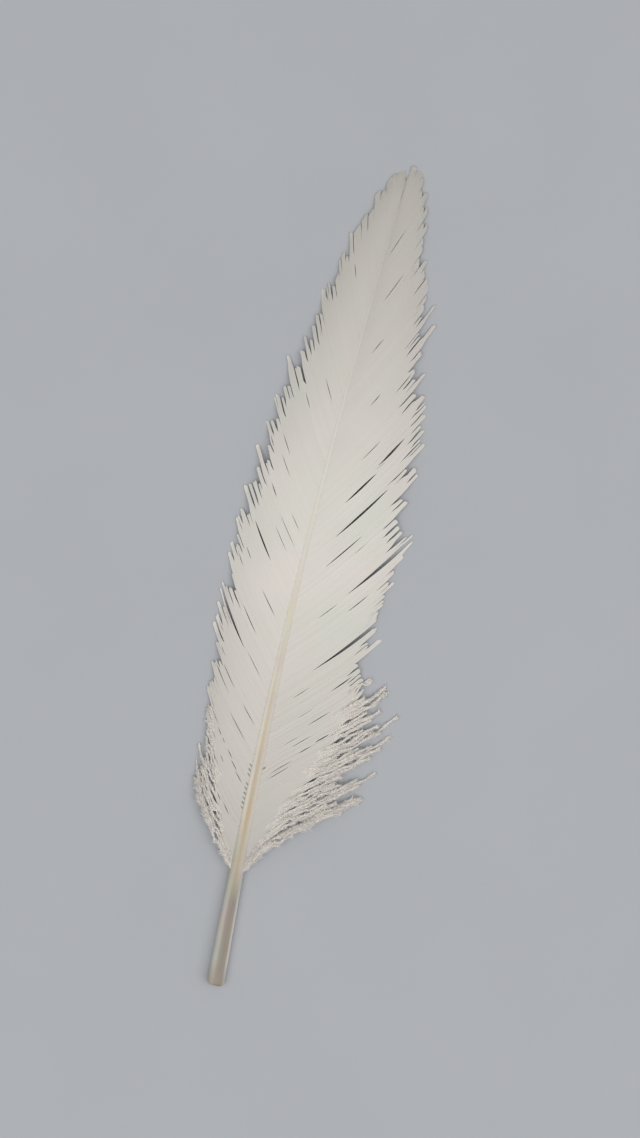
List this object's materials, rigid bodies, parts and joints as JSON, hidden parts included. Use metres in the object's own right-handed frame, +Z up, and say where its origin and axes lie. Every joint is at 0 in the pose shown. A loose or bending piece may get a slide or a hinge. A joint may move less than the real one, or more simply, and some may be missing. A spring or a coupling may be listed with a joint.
{
  "type": "ostrich feather",
  "caption": "White ostrich feather with a bare quill, a slightly bowed shaft, two vanes of barbs that part into locks, and loose down at the base; lies flat with its outer face up.",
  "frame": {"origin": "middle of the feather's length and width, on the surface that it lies on", "axes": "+Y from the quill's end towards the feather's tip, +Z up out of its outer face, +X to the side with the longer down"},
  "size_m": [0.0721, 0.2998, 0.007],
  "materials": {
    "barbs": "matt white keratin barbs with a faint silky sheen",
    "down": "soft matt grey-white down",
    "horn": "smooth cream keratin horn, slightly translucent"
  },
  "bodies": {
    "root": {"feather": "barbs"}
  },
  "joints": []
}
